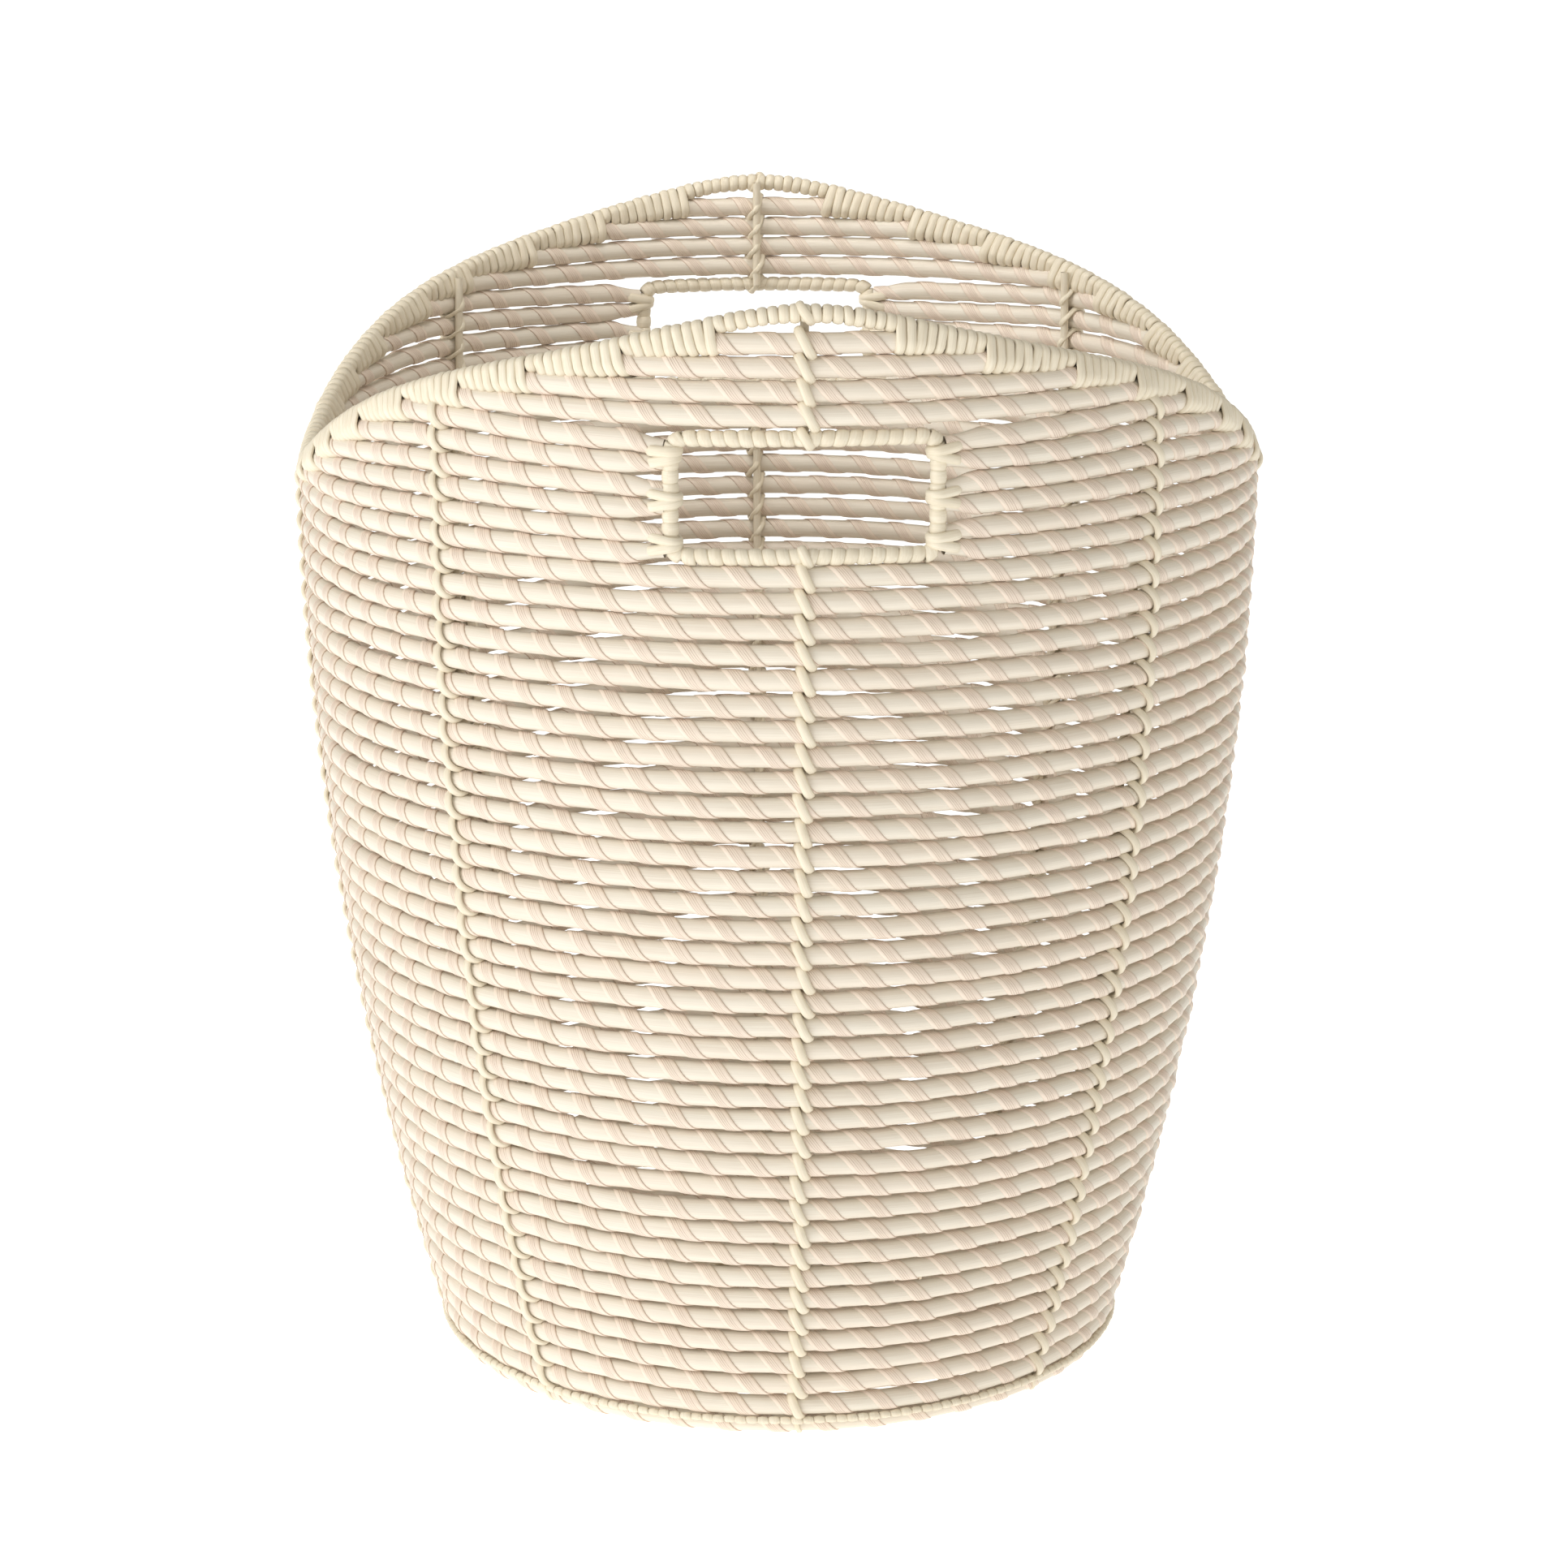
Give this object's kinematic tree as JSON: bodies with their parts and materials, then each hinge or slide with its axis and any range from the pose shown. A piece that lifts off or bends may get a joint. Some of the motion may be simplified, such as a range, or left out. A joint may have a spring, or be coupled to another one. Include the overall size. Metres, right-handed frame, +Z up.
{
  "type": "laundry basket",
  "caption": "Tall round woven laundry basket of stacked wrapped rods on a wire frame, widening upwards, with a hand hole front and back and a rim that dips at the sides.",
  "frame": {"origin": "centre of the foot ring on the floor", "axes": "+Z up, the front hand hole faces -Y, +X to the right seen from the front"},
  "size_m": [0.4622, 0.4622, 0.55],
  "materials": {
    "rod": "satin cream rattan-style core with fine lengthwise grooves, wound with a pale pinkish ribbon",
    "cord": "satin cream-yellow round weaving cord",
    "wire": "cream plastic-coated steel wire"
  },
  "bodies": {
    "root": {"rod_01": "rod", "rod_02": "rod", "rod_03": "rod", "rod_04": "rod", "rod_05": "rod", "rod_06": "rod", "rod_07": "rod", "rod_08": "rod", "rod_09": "rod", "rod_10": "rod", "rod_11": "rod", "rod_12": "rod", "rod_13": "rod", "rod_14": "rod", "rod_15": "rod", "rod_16": "rod", "rod_17": "rod", "rod_18": "rod", "rod_19": "rod", "rod_20": "rod", "rod_21": "rod", "rod_22": "rod", "rod_23": "rod", "rod_24": "rod", "rod_25": "rod", "rod_26": "rod", "rod_27": "rod", "rod_28": "rod", "rod_29": "rod", "rod_30": "rod", "rod_31": "rod", "rod_32": "rod", "rod_33": "rod", "rod_34": "rod", "rod_35": "rod", "rod_36": "rod", "foot_rod": "rod", "side_rods": "rod", "quarter_rods_front": "rod", "quarter_rods_back": "rod", "arch_rods_front": "rod", "arch_rods_back": "rod", "base_rods": "rod", "upright_front": "wire", "upright_front_right": "wire", "upright_right": "wire", "upright_back_right": "wire", "upright_back": "wire", "upright_back_left": "wire", "upright_left": "wire", "upright_front_left": "wire", "rim_wire": "wire", "handle_loop_front": "wire", "handle_loop_back": "wire", "base_spokes": "wire", "rim_binding": "cord", "handle_bindings": "cord", "base_ring": "cord", "lashings": "cord"}
  },
  "joints": []
}
